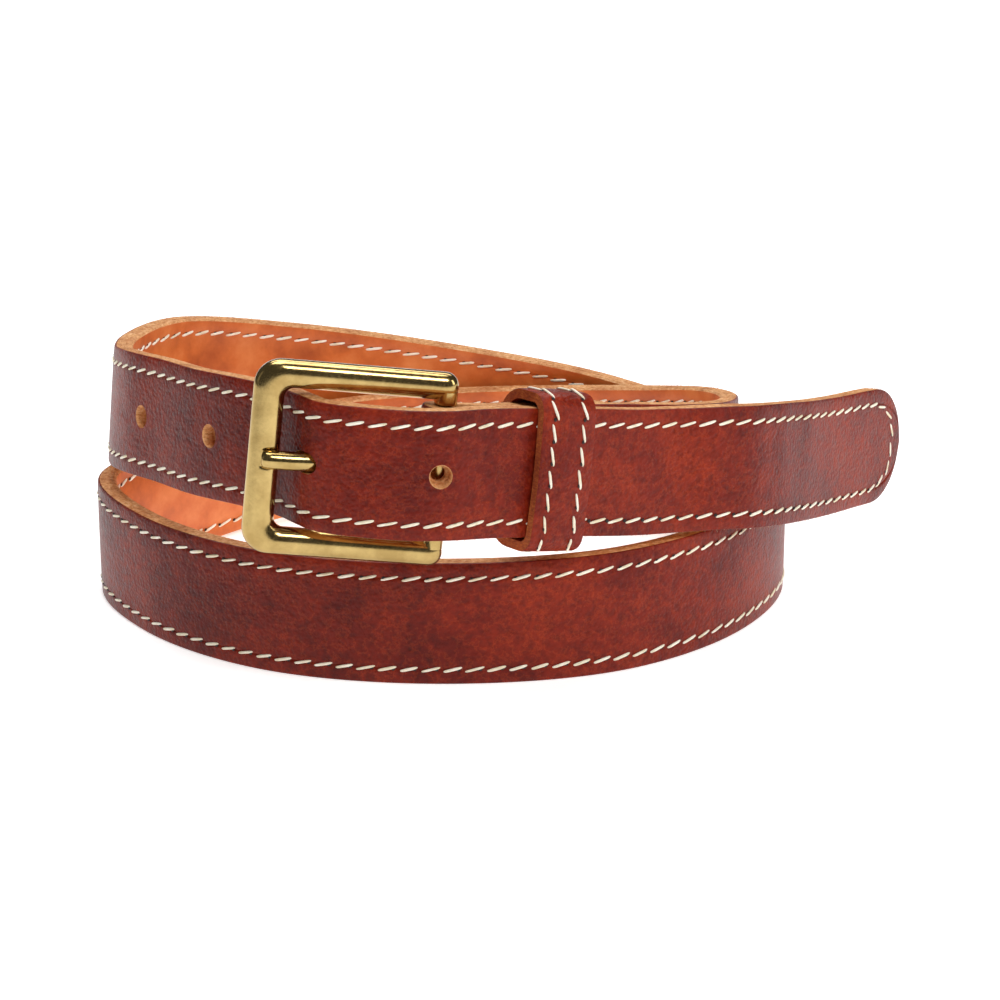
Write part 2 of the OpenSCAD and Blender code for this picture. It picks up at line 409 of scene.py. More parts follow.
@dataclass(frozen=True)
class Finish:
    """What every finish has: a name and a Principled shader to dress."""

    name: str

    def start(self, **sockets) -> tuple:
        """A new material with its tree and shader.

        Args:
            **sockets: values for the shader's sockets, with _ for spaces.

        Returns:
            The material, its tree and its Principled node.
        """
        material = bpy.data.materials.new(self.name)
        material.use_nodes = True
        tree = material.node_tree
        shader = next(n for n in tree.nodes if n.type == "BSDF_PRINCIPLED")
        for key, value in sockets.items():
            shader.inputs[key.replace("_", " ")].default_value = value
        return material, tree, shader


def patchy(tree: bpy.types.NodeTree, place: bpy.types.NodeSocket, size: float, detail: float = 4.0,
           rough: float = 0.55, stretch: tuple = (1, 1, 1)) -> bpy.types.NodeSocket:
    """A pattern of soft patches, each about size mm across, stretched along its axes."""
    scaled = add_node(tree, "ShaderNodeMapping", {
        "Vector": place, "Scale": [1 / (size * MM * s) for s in stretch]})
    return add_node(tree, "ShaderNodeTexNoise", {
        "Vector": scaled, "Scale": 1.0, "Detail": detail, "Roughness": rough}, "Fac")


@dataclass(frozen=True)
class BridleLeather(Finish):
    """Vegetable-tanned bridle leather, dyed and waxed: deep colour, soft shine, fine pores and creases."""

    deep: str = "#66150a"
    main: str = "#7e1f0d"
    warm: str = "#90290f"
    pore: float = 0.8
    crease: float = 1.7
    cloud: float = 24.0
    vein: float = 4.5
    wrinkle: float = 7.0
    gloss: float = 0.36

    def build(self) -> bpy.types.Material:
        """Builds the material."""
        material, tree, shader = self.start(Roughness=self.gloss, IOR=1.42, Specular_IOR_Level=0.24)
        place = add_node(tree, "ShaderNodeTexCoord", out="Object")
        strap = add_node(tree, "ShaderNodeUVMap", out="UV", uv_map="strap")
        cloud = patchy(tree, place, self.cloud, 5, 0.6)
        mottle = patchy(tree, place, self.crease, 6, 0.65)
        base = add_node(tree, "ShaderNodeValToRGB", {"Fac": cloud}, stops=(
            (0.36, self.deep), (0.5, self.main), (0.64, self.warm)))
        fine = add_node(tree, "ShaderNodeValToRGB", {"Fac": mottle}, stops=(
            (0.34, "#8a6a60"), (0.5, "#d8ccc6"), (0.66, "#ffffff")))
        worn = add_node(tree, "ShaderNodeMix", {0: 0.6, 6: base, 7: fine}, 2, data_type="RGBA",
                        blend_type="MULTIPLY")
        # The dye has worn thin in thread-like cracks, which show redder.
        bright = add_node(tree, "ShaderNodeValToRGB", {"Fac": patchy(tree, place, self.vein, 6, 0.7)}, stops=(
            (0.47, "#000000"), (0.5, "#6a2a0c"), (0.53, "#000000")))
        colour = add_node(tree, "ShaderNodeMix", {0: 0.55, 6: worn, 7: bright}, 2, data_type="RGBA",
                          blend_type="ADD")
        tree.links.new(colour, shader.inputs["Base Color"])
        # Pores and creases stand in real relief: tenths of a millimetre.
        cells = add_node(tree, "ShaderNodeTexVoronoi", {"Vector": place, "Scale": 1 / (self.pore * MM)},
                         "Distance", feature="SMOOTH_F1")
        wrinkle = patchy(tree, strap, self.wrinkle, 4, 0.6, (1.6, 0.5, 1))
        bump = None
        for height, strength, deep in ((cells, 0.7, 0.25), (mottle, 0.6, 0.4), (wrinkle, 0.2, 0.7)):
            below = {"Normal": bump} if bump else {}
            bump = add_node(tree, "ShaderNodeBump", {
                "Height": height, "Strength": strength, "Distance": deep * MM, **below}, "Normal")
        tree.links.new(bump, shader.inputs["Normal"])
        gloss = add_node(tree, "ShaderNodeMapRange", {
            "Value": mottle, "From Min": 0.3, "From Max": 0.7,
            "To Min": self.gloss - 0.06, "To Max": self.gloss + 0.1}, "Result")
        tree.links.new(gloss, shader.inputs["Roughness"])
        return material


@dataclass(frozen=True)
class LiningLeather(Finish):
    """Smooth veg-tanned lining, oiled to orange tan: soft clouds, little shine."""

    deep: str = "#a84c14"
    main: str = "#d06a28"
    pale: str = "#e58a48"
    cloud: float = 14.0
    grain: float = 0.8

    def build(self) -> bpy.types.Material:
        """Builds the material."""
        material, tree, shader = self.start(Roughness=0.48, IOR=1.46, Coat_Weight=0.12, Coat_Roughness=0.35)
        place = add_node(tree, "ShaderNodeTexCoord", out="Object")
        colour = add_node(tree, "ShaderNodeValToRGB", {"Fac": patchy(tree, place, self.cloud, 5, 0.6)}, stops=(
            (0.3, self.deep), (0.5, self.main), (0.72, self.pale)))
        tree.links.new(colour, shader.inputs["Base Color"])
        bump = add_node(tree, "ShaderNodeBump", {
            "Height": patchy(tree, place, self.grain, 4, 0.6), "Strength": 0.3, "Distance": 0.12 * MM}, "Normal")
        tree.links.new(bump, shader.inputs["Normal"])
        return material


@dataclass(frozen=True)
class CutEdge(Finish):
    """Cut edge of veg-tanned leather: matt fibres that run along the strap, undyed inside."""

    dark: str = "#b06a34"
    main: str = "#dca066"
    pale: str = "#f2c898"
    fibre: float = 0.35
    stain: float = 7.0

    def build(self) -> bpy.types.Material:
        """Builds the material."""
        material, tree, shader = self.start(Roughness=0.75, IOR=1.45)
        place = add_node(tree, "ShaderNodeTexCoord", out="Object")
        strands = patchy(tree, place, self.fibre, 4, 0.7, (3, 3, 1))
        fibres = add_node(tree, "ShaderNodeValToRGB", {"Fac": strands}, stops=(
            (0.3, self.dark), (0.5, self.main), (0.7, self.pale)))
        stain = add_node(tree, "ShaderNodeValToRGB", {"Fac": patchy(tree, place, self.stain, 4, 0.6)}, stops=(
            (0.35, "#c9a184"), (0.6, "#ffffff")))
        colour = add_node(tree, "ShaderNodeMix", {0: 0.6, 6: fibres, 7: stain}, 2, data_type="RGBA",
                          blend_type="MULTIPLY")
        tree.links.new(colour, shader.inputs["Base Color"])
        bump = add_node(tree, "ShaderNodeBump", {"Height": strands, "Strength": 0.6, "Distance": 0.3 * MM},
                        "Normal")
        tree.links.new(bump, shader.inputs["Normal"])
        return material


@dataclass(frozen=True)
class WaxedThread(Finish):
    """Waxed linen thread: cream, matt, a little darker where it is grubby."""

    clean: str = "#fdf6e4"
    grubby: str = "#e8dab8"
    patch: float = 3.0

    def build(self) -> bpy.types.Material:
        """Builds the material."""
        material, tree, shader = self.start(Roughness=0.6, IOR=1.5)
        place = add_node(tree, "ShaderNodeTexCoord", out="Object")
        colour = add_node(tree, "ShaderNodeValToRGB", {"Fac": patchy(tree, place, self.patch)}, stops=(
            (0.35, self.grubby), (0.6, self.clean)))
        tree.links.new(colour, shader.inputs["Base Color"])
        return material


@dataclass(frozen=True)
class NeedleHoleShade(Finish):
    """Painted shade of a needle hole: a near-black matt spot that stands in for the shade inside the hole."""

    def build(self) -> bpy.types.Material:
        """Builds the material."""
        return self.start(Base_Color=linear("#1d0a07"), Roughness=0.6)[0]


@dataclass(frozen=True)
class SatinBrass(Finish):
    """Solid brass, cast, tumbled and satin polished: soft wide highlights and faint scratches."""

    colour: str = "#bda269"
    dull: str = "#a58a55"
    gloss: float = 0.16
    patch: float = 6.0
    scratch: float = 0.5

    def build(self) -> bpy.types.Material:
        """Builds the material."""
        material, tree, shader = self.start(Metallic=1.0, Roughness=self.gloss)
        place = add_node(tree, "ShaderNodeTexCoord", out="Object")
        colour = add_node(tree, "ShaderNodeValToRGB", {"Fac": patchy(tree, place, self.patch, 4, 0.6)}, stops=(
            (0.35, self.dull), (0.62, self.colour)))
        tree.links.new(colour, shader.inputs["Base Color"])
        scratch = patchy(tree, place, self.scratch, 3, 0.6)
        gloss = add_node(tree, "ShaderNodeMapRange", {
            "Value": scratch, "From Min": 0.3, "From Max": 0.7,
            "To Min": self.gloss - 0.05, "To Max": self.gloss + 0.08}, "Result")
        tree.links.new(gloss, shader.inputs["Roughness"])
        bump = add_node(tree, "ShaderNodeBump", {"Height": scratch, "Strength": 0.12, "Distance": 0.05 * MM},
                        "Normal")
        tree.links.new(bump, shader.inputs["Normal"])
        return material


# ---- Stitches and fibres -------------------------------------------------------------------


class RepeatTree:
    """A Geometry Nodes tree with named inputs, which repeats small shapes over a piece."""

    def __init__(self, name: str, sizes: dict, materials: tuple) -> None:
        """Builds the tree with its named inputs.

        Args:
            name: the tree's name.
            sizes: its number inputs and their usual values, in mm or degrees.
            materials: names of its material inputs.
        """
        self.tree = bpy.data.node_groups.new(name, "GeometryNodeTree")
        self.tree.is_modifier = True
        self.sockets: dict = {}
        face = self.tree.interface
        face.new_socket("Geometry", in_out="INPUT", socket_type="NodeSocketGeometry")
        for key, value in sizes.items():
            socket = face.new_socket(key, in_out="INPUT", socket_type="NodeSocketFloat")
            socket.default_value = value
            self.sockets[key] = socket.identifier
        for key in materials:
            socket = face.new_socket(key, in_out="INPUT", socket_type="NodeSocketMaterial")
            self.sockets[key] = socket.identifier
        face.new_socket("Geometry", in_out="OUTPUT", socket_type="NodeSocketGeometry")
        self.given = self._put("NodeGroupInput", out=None).outputs
        self._put("NodeGroupOutput", {"Geometry": self._wire()}, None)

    def _put(self, kind: str, links: dict | None = None, out: int | None = 0, **settings) -> bpy.types.NodeSocket:
        """Adds a node to this tree, as add_node does."""
        return add_node(self.tree, kind, links, out, **settings)

    def _wire(self) -> bpy.types.NodeSocket:
        """Links the nodes, and gives the geometry that comes out."""
        raise NotImplementedError

    def _grown(self, name: str, mesh: bpy.types.Mesh, values: dict) -> bpy.types.Object:
        """Runs the tree on a mesh.

        Args:
            name: the new piece's name.
            mesh: what the tree works on.
            values: input name -> value, for the inputs that differ from usual.

        Returns:
            The result as one plain mesh.
        """
        piece = bpy.data.objects.new(name, mesh)
        bpy.context.scene.collection.objects.link(piece)
        modifier = piece.modifiers.new("repeat", "NODES")
        modifier.node_group = self.tree
        for key, value in values.items():
            modifier[self.sockets[key]] = value
        return baked(piece)


class FibreTree(RepeatTree):
    """Raises loose fibres on the faces of a piece's second material slot."""

    SPOT_SEED, LEAN_SEED, SIZE_SEED = 11, 5, 9
    LEAN = 1.1  # how far a fibre leans at most, in radians

    def __init__(self) -> None:
        """Builds the tree: fibres for each square mm, and their size in mm."""
        super().__init__("edge_fibres", {"Density": 2.2, "Length": 0.7, "Thickness": 0.05}, ("Fibre",))

    def _wire(self) -> bpy.types.NodeSocket:
        """Links the nodes from the strap's edge to the fibres."""
        put, given = self._put, self.given
        slot = put("GeometryNodeInputMaterialIndex")
        edge = put("FunctionNodeCompare", {2: slot, 3: 1}, data_type="INT", operation="EQUAL")
        per_area = put("ShaderNodeMath", {0: given["Density"], 1: 1 / MM**2}, operation="MULTIPLY")
        spots = put("GeometryNodeDistributePointsOnFaces", {
            "Mesh": given["Geometry"], "Selection": edge, "Density": per_area, "Seed": self.SPOT_SEED},
            None).outputs
        lean = put("FunctionNodeRandomValue", {
            "Min": (-self.LEAN, -self.LEAN, 0.0), "Max": (self.LEAN, self.LEAN, 6.28),
            "Seed": self.LEAN_SEED}, data_type="FLOAT_VECTOR")
        stand = put("FunctionNodeRotateRotation", {
            "Rotation": spots["Rotation"], "Rotate By": put("FunctionNodeEulerToRotation", {0: lean})},
            rotation_space="LOCAL")
        long = put("ShaderNodeMath", {0: given["Length"], 1: MM}, operation="MULTIPLY")
        wide = put("ShaderNodeMath", {0: given["Thickness"], 1: MM}, operation="MULTIPLY")
        hair = put("GeometryNodeMeshCone", {
            "Vertices": 4, "Radius Bottom": wide, "Radius Top": 0.0, "Depth": long}, fill_type="NGON")
        size = put("FunctionNodeRandomValue", {2: 0.25, 3: 1.0, "Seed": self.SIZE_SEED}, 1, data_type="FLOAT")
        grown = put("GeometryNodeInstanceOnPoints", {
            "Points": spots["Points"], "Instance": hair, "Rotation": stand, "Scale": size})
        real = put("GeometryNodeRealizeInstances", {"Geometry": grown})
        return put("GeometryNodeSetMaterial", {"Geometry": real, "Material": given["Fibre"]})

    def grow(self, name: str, on: bpy.types.Object, fibre: bpy.types.Material) -> bpy.types.Object:
        """Grows fibres on the cut edges of a piece.

        Args:
            name: the new piece's name.
            on: the piece, whose second material slot is the cut edge.
            fibre: the fibres' material.

        Returns:
            The fibres as one plain mesh.
        """
        return self._grown(name, on.data.copy(), {"Fibre": fibre})


class StitchTree(RepeatTree):
    """Sews a row of slanted stitches along a guide line."""

    # How blunt a stitch's ends are (1 is an ellipse), and how far they dip into their holes.
    FULLNESS, DIP = 0.5, 0.9
    THREAD_SEED, HOLE_SEED = 3, 7

    def __init__(self) -> None:
        """Builds the tree: the stitches' pitch and size in mm, and their slant in degrees."""
        sizes = {"Pitch": 4.9, "Length": 4.5, "Thickness": 0.68, "Slant": 14.0}
        super().__init__("stitch_row", sizes, ("Thread", "HoleShade"))

    def _sown(self, line: bpy.types.NodeSocket, shift: float, shape: bpy.types.NodeSocket,
              turn: bpy.types.NodeSocket, seed: int) -> bpy.types.NodeSocket:
        """Puts a shape on the guide line at every stitch.

        Args:
            line: the guide line as a curve.
            shift: share of the pitch that the first one is moved along.
            shape: the geometry to repeat.
            turn: rotation of each one about the normal, in radians.
            seed: seed of the small differences in size.

        Returns:
            The instances' geometry output.
        """
        put = self._put
        pitch = put("ShaderNodeMath", {0: self.given["Pitch"], 1: MM}, operation="MULTIPLY")
        length = put("GeometryNodeCurveLength", {"Curve": line})
        begin = put("ShaderNodeMath", {0: pitch, 1: shift}, operation="MULTIPLY")
        trimmed = put("GeometryNodeTrimCurve", {"Curve": line, 4: begin, 5: length}, mode="LENGTH")
        even = put("GeometryNodeResampleCurve", {"Curve": trimmed, "Length": pitch}, mode="LENGTH")
        normal = put("GeometryNodeInputNamedAttribute", {"Name": "lift"}, data_type="FLOAT_VECTOR")
        along = put("FunctionNodeAlignRotationToVector", {"Vector": put("GeometryNodeInputTangent")}, axis="X")
        square = put("FunctionNodeAlignRotationToVector", {"Rotation": along, "Vector": normal}, axis="Z",
                     pivot_axis="X")
        spin = put("FunctionNodeEulerToRotation", {0: put("ShaderNodeCombineXYZ", {"Z": turn})})
        slanted = put("FunctionNodeRotateRotation", {"Rotation": square, "Rotate By": spin},
                      rotation_space="LOCAL")
        size = put("FunctionNodeRandomValue", {
            "Min": (0.93, 0.88, 0.95), "Max": (1.05, 1.1, 1.05), "Seed": seed}, data_type="FLOAT_VECTOR")
        return put("GeometryNodeInstanceOnPoints", {
            "Points": even, "Instance": shape, "Rotation": slanted, "Scale": size})

    def _ball(self, sizes: tuple, pierced: bool) -> bpy.types.NodeSocket:
        """A smooth blunt ball with dipping ends.

        Args:
            sizes: its half sizes in metres, as sockets.
            pierced: whether it is a needle hole, drawn as a dark spot of painted shade.

        Returns:
            The geometry output.
        """
        put = self._put
        ball = put("GeometryNodeMeshUVSphere", {"Segments": 10, "Rings": 7, "Radius": 1.0})
        turned = put("GeometryNodeTransform", {"Geometry": ball, "Rotation": (0, math.pi / 2, 0)})
        place = put("ShaderNodeSeparateXYZ", {0: put("GeometryNodeInputPosition")}, None).outputs
        far = put("ShaderNodeMath", {0: place[0]}, operation="ABSOLUTE")
        reach = put("ShaderNodeMath", {0: far, 1: self.FULLNESS}, operation="POWER")
        side = put("ShaderNodeMath", {0: place[0]}, operation="SIGN")
        blunt = put("ShaderNodeMath", {0: reach, 1: side}, operation="MULTIPLY")
        late = put("ShaderNodeMath", {0: reach, 1: 6.0}, operation="POWER")
        dip = put("ShaderNodeMath", {0: late, 1: self.DIP}, operation="MULTIPLY")
        low = put("ShaderNodeMath", {0: place[2], 1: dip}, operation="SUBTRACT")
        moved = put("ShaderNodeCombineXYZ", {"X": blunt, "Y": place[1], "Z": low})
        full = put("GeometryNodeSetPosition", {"Geometry": turned, "Position": moved})
        scale = put("ShaderNodeCombineXYZ", dict(zip("XYZ", sizes)))
        scaled = put("GeometryNodeTransform", {"Geometry": full, "Scale": scale})
        smooth = put("GeometryNodeSetShadeSmooth", {"Geometry": scaled})
        return put("GeometryNodeStoreNamedAttribute", {"Geometry": smooth, "Name": "needle", "Value": pierced},
                   data_type="BOOLEAN", domain="FACE")

    def _wire(self) -> bpy.types.NodeSocket:
        """Links the nodes from the guide line to the sewn row."""
        put, given = self._put, self.given
        line = put("GeometryNodeMeshToCurve", {"Mesh": given["Geometry"]})
        half = put("ShaderNodeMath", {0: given["Length"], 1: MM / 2}, operation="MULTIPLY")
        thick = put("ShaderNodeMath", {0: given["Thickness"], 1: MM / 2}, operation="MULTIPLY")
        low, long, wide, shallow = (put("ShaderNodeMath", {0: thick, 1: share}, operation="MULTIPLY")
                                    for share in (0.8, 1.25, 1.1, 0.3))
        slant = put("ShaderNodeMath", {0: given["Slant"]}, operation="RADIANS")
        sewn = self._sown(line, 0.5, self._ball((half, thick, low), False), slant, self.THREAD_SEED)
        # The needle holes are near-black spots of painted shade, standing in for the shade inside each hole.
        holes = self._sown(line, 0.0, self._ball((long, wide, shallow), True), slant, self.HOLE_SEED)
        both = put("GeometryNodeJoinGeometry", out=None)
        self.tree.links.new(sewn, both.inputs[0])
        self.tree.links.new(holes, both.inputs[0])
        real = put("GeometryNodeRealizeInstances", {"Geometry": both.outputs[0]})
        pierced = put("GeometryNodeInputNamedAttribute", {"Name": "needle"}, data_type="BOOLEAN")
        thread = put("GeometryNodeSetMaterial", {"Geometry": real, "Material": given["Thread"]})
        return put("GeometryNodeSetMaterial", {
            "Geometry": thread, "Selection": pierced, "Material": given["HoleShade"]})

    def sew(self, name: str, lines: list, thread: bpy.types.Material, hole: bpy.types.Material,
            **sizes: float) -> bpy.types.Object:
        """Sews rows along guide lines.

        Args:
            name: the new piece's name.
            lines: guide lines, each a list of (point in mm, normal).
            thread: material of the stitches.
            hole: material of the needle holes, near-black painted shade.
            **sizes: other values for the tree's named inputs.

        Returns:
            The stitches as one plain mesh.
        """
        mesh = bpy.data.meshes.new(name)
        edges, start = [], 0
        for line in lines:
            edges += [(start + k, start + k + 1) for k in range(len(line) - 1)]
            start += len(line)
        mesh.from_pydata([p * MM for line in lines for p, _ in line], edges, [])
        lift = mesh.attributes.new("lift", "FLOAT_VECTOR", "POINT")
        lift.data.foreach_set("vector", [c for line in lines for _, n in line for c in n])
        piece = self._grown(name, mesh, {"Thread": thread, "HoleShade": hole, **sizes})
        for extra in ("lift", "needle"):
            if extra in piece.data.attributes:
                piece.data.attributes.remove(piece.data.attributes[extra])
        return piece


# ---- The belt's sub-assemblies ---------------------------------------------------------------


@dataclass
class Leathers:
    """The materials that the pieces share."""

    bridle: bpy.types.Material
    lining: bpy.types.Material
    edge: bpy.types.Material
    dyed_edge: bpy.types.Material
    thread: bpy.types.Material
    needle: bpy.types.Material
    brass: bpy.types.Material


@dataclass
class HeelBar:
    """Frame of reference of the buckle's heel bar: x along the strap, -y outwards, z along the bar."""

    place: Vector = field(default_factory=lambda: Vector((-0.4, -74.2, 51.8)) - MIDDLE)
    lean: float = -4.0
    roll: float = 6.0
    frame_turn: float = 5.5

    def matrix(self, turn: float) -> Matrix:
        """Turns bar coordinates into the belt's, with the frame turned this far, in degrees."""
        spin = Matrix.Translation(self.place)
        for angle, axis in ((self.roll, "Y"), (self.lean, "X"), (turn, "Z")):
            spin = spin @ Matrix.Rotation(math.radians(angle), 4, axis)
        return spin

    def ray(self, angle: float) -> Vector:
        """Direction square to the bar at an angle from the strap's direction, in degrees."""
        a = math.radians(angle)
        return self.matrix(0).to_3x3() @ Vector((math.cos(a), math.sin(a), 0))

    @property
    def up(self) -> Vector:
        """Direction of the bar."""
        return self.matrix(0).to_3x3() @ Vector((0, 0, 1))


@dataclass
class StrapMaker:
    """The strap: face leather, lining, rows of stitches and the turned-back end at the buckle."""

    strap: Strap
    bar: HeelBar
    stuff: Leathers
    sewing: StitchTree
    fuzz: FibreTree
    step: float = 2.4
    fold_gap: float = 0.25
    bar_r: float = 2.0
    flap_lead: float = 9.0
    fold_len: float = 44.0
    pinch_len: float = 12.0
    slot_w: float = 9.0
    slot_turn: float = 12.0
    slot_back: float = 7.0
    slot_ahead: float = 8.0
    groove: float = 0.28
    crown: float = 0.14
    holes: tuple = ((38, 0.77), (30, 0.5), (28, 0.65), (26, 0.74))
    prong_room: float = 2.35
    tip_round: float = 15.0
    tip_power: float = 2.2
    tip_blunt: float = 0.006
    play: tuple = (-1.0, 0.0, 1.2, 2.5)
    face_lift: float = 0.12
    lining_lift: float = 0.1

    def __post_init__(self) -> None:
        """Finds the route's stations for every stretch."""
        self.route = Route(ROUTE, self.strap.width)
        keeper_at = KEEPER_POINT + KEEPER_SHARE
        # The first lap joins the turn round the bar a little way along the route.
        self.main = measured(self._fold() + self.route.stations(0.45, keeper_at, self.step))
        self.bare = self.route.stations(0, keeper_at, self.step)
        self.lined = [s for s in self.bare if s.distance > self.fold_len + 4]
        self.tail = self.route.stations(keeper_at, len(ROUTE) - 1, self.step)

    def _fold(self) -> list:
        """Stations of the turned-back end and the turn round the heel bar, in order."""
        lap = self.route.stations(1, 6, self.step)
        flap, face = [], self.strap.face
        for s in lap:
            d = s.distance + self.flap_lead
            if d < self.fold_len:
                deep = 2 * face + self.fold_gap + (1 - ease(d / self.pinch_len)) * self.bar_r
                flap.append(Station(s.mid - s.normal * deep, s.across, -s.normal))
        radius = self.bar_r + self.fold_gap + face
        turn = [Station(self.bar.place + self.bar.ray(a) * radius, self.bar.up, self.bar.ray(a))
                for a in range(-290, -69, 11)]
        return [Station(s.mid, s.across, s.normal) for s in flap[::-1]] + turn

    def _face_profile(self) -> tuple:
        """Section of the face leather: crowned side, sewing grooves, rounded dyed corners, cut edges.

        Returns:
            The (v, depth) points, and the material slot after each one.
        """
        half, t, crown = self.strap.half, self.strap.face, self.crown
        row = half - self.strap.row_inset
        top = [(-half + 0.02, 0.5), (-half + 0.15, 0.15), (-half + 0.55, -0.02), (-row - 0.9, -0.08),
               (-row - 0.4, -0.05), (-row, self.groove - 0.1), (-row + 0.4, -0.05), (-row + 1.0, -0.1)]
        middle = [(v, -crown + 0.0004 * v * v) for v in (-8, -5, -2.5, 0, 2.5, 5, 8)]
        other = [(-v, d) for v, d in reversed(top)]
        under = [(half - 0.02, 1.5), (half - 0.05, t), (0, t), (-half + 0.05, t), (-half + 0.02, 1.5)]
        points = top + middle + other + under
        slots = [0] * (len(points) - len(under) - 1) + [1] * (len(under) + 1)
        return points, slots

    def _lining_profile(self) -> tuple:
        """Section of the lining: a little narrower than the face, with soft corners."""
        half, row = self.strap.half - 0.12, self.strap.half - self.strap.row_inset
        t0, t1 = self.strap.face, self.strap.thick
        points = [(-half, t0), (0, t0), (half, t0), (half + 0.05, t1 - 0.6), (half - 0.4, t1 - 0.05),
                  (row + 0.5, t1), (row, t1 - 0.25), (row - 0.5, t1), (0, t1 + 0.1), (-row + 0.5, t1),
                  (-row, t1 - 0.25), (-row - 0.5, t1), (-half + 0.4, t1 - 0.05), (-half - 0.05, t1 - 0.6)]
        return points, [1, 1, 1, 1] + [0] * 8 + [1, 1]

    def _hole_cutters(self) -> list:
        """Pins that punch the adjustment holes."""
        return [self._pin(self.route.station(i, t)) for i, t in self.holes]

    def _pin(self, s: Station) -> bpy.types.Object:
        """A pin through the strap at a station, with a slightly wider mouth."""
        r, mouth, face = self.strap.hole / 2, 0.35, self.strap.face
        rings = [[s.mid - s.normal * depth + (s.across * c + s.along * q) * radius for c, q in circle(32)]
                 for depth, radius in ((-3, r + mouth), (-0.28, r + mouth), (0.35, r), (face, r),
                                       (face + 0.1, 0.7 * r), (9, 0.7 * r))]
        return tube("pin", rings, [self.stuff.bridle, self.stuff.edge], 1)

    def _prong_rooms(self, prong: "Prong") -> list:
        """Room for the prong at several angles of its play."""
        rooms = []
        for turn in self.play:
            where = self.bar.matrix(self.bar.frame_turn + turn)
            rings = [[where @ Vector((-x, self.prong_room * c - prong.axis_out(x), self.prong_room * q))
                      for c, q in circle(28)] for x in (4.0, 14.0, 18.0, 21.0, 24.0, 27.0, 30.0, 40.0)]
            rooms.append(tube("room", rings, [self.stuff.bridle, self.stuff.edge], 1))
        return rooms

    def _eye_slot(self) -> bpy.types.Object:
        """Slot in the fold for the prong's eye."""
        where, back, ahead = self.bar.matrix(self.slot_turn), self.slot_back, self.slot_ahead
        corners = ((-back, -back), (ahead, -back), (ahead, back), (-back, back))
        rings = [[where @ Vector((x, y, z)) for x, y in corners] for z in (-self.slot_w / 2, self.slot_w / 2)]
        return tube("slot", rings, [self.stuff.bridle, self.stuff.edge], 1)

    def _rows(self, stations: list, side: Side, lift: float) -> list:
        """Guide lines of the two rows on one side of the strap.

        Args:
            stations: where the rows run.
            side: which side of the strap.
            lift: how far the thread's middle stands above the groove, in mm.

        Returns:
            Two lines of (point, normal).
        """
        row = self.strap.half - self.strap.row_inset
        depth = -lift if side is Side.FACE else self.strap.thick + lift
        return [[(s.at(v, depth), s.normal * side.value) for s in stations] for v in (-row, row)]

    def build_main(self, prong: "Prong") -> None:
        """Builds the fixed strap, from the turned-back end to the keeper, and its stitches.

        Args:
            prong: the prong, which needs room in the leather.
        """
        stuff = self.stuff
        points, slots = self._face_profile()
        face = swept("strap_face_leather", self.main, points, [stuff.bridle, stuff.edge], slots)
        fibres = self.fuzz.grow("strap_edge_fibres", face, stuff.edge)
        combined(face, [self._eye_slot()] + self._hole_cutters() + self._prong_rooms(prong), "DIFFERENCE")
        finish_piece(face, "belt", "bridle_leather", "face_leather")
        finish_piece(fibres, "belt", "bridle_leather")
        points, slots = self._lining_profile()
        lining = swept("strap_lining", self.lined, points, [stuff.lining, stuff.edge], slots)
        combined(lining, self._hole_cutters() + self._prong_rooms(prong), "DIFFERENCE")
        finish_piece(lining, "belt", "lining_leather", "lining")
        seen = [s for s in self.bare if s.distance > 4]
        for name, stations, side, lift, node in (
                ("face_stitches", seen, Side.FACE, self.face_lift, "face_thread"),
                ("lining_stitches", self.lined, Side.LINING, self.lining_lift, "lining_thread"),
                ("fold_stitches", self._fold()[2:18], Side.FACE, self.face_lift, "fold_thread")):
            rows = self.sewing.sew(name, self._rows(stations, side, lift), stuff.thread, stuff.needle)
            finish_piece(rows, "belt", "thread", node)

    def _tail_half(self, s: Station, inset: float) -> float:
        """Half width of the free end at a station, this far in from its outline."""
        left = self.tail[-1].distance - inset - s.distance
        full = self.strap.half - inset
        if left >= self.tip_round:
            return full
        round_off = max(0.0, 1 - left / self.tip_round) ** self.tip_power
        return full * math.sqrt(max(self.tip_blunt, 1 - round_off))

    def _tip_fine(self, stations: list) -> list:
        """The stations with closer ones at the rounded tip."""
        end = stations[-1].distance
        kept = [s for s in stations if end - s.distance > self.tip_round]
        last = kept[-1].distance
        rows = 14
        shares = [math.sin(math.pi / 2 * k / rows) for k in range(1, rows + 1)]
        return kept + [self._between(stations, last + (end - last) * share) for share in shares]

    def _between(self, stations: list, distance: float) -> Station:
        """A station at any distance along a list of stations."""
        for a, b in zip(stations, stations[1:]):
            if b.distance >= distance - 1e-6:
                t = (distance - a.distance) / max(1e-9, b.distance - a.distance)
                return Station(a.mid.lerp(b.mid, t), a.across.lerp(b.across, t).normalized(),
                               a.normal.lerp(b.normal, t).normalized(), distance)
        return stations[-1]

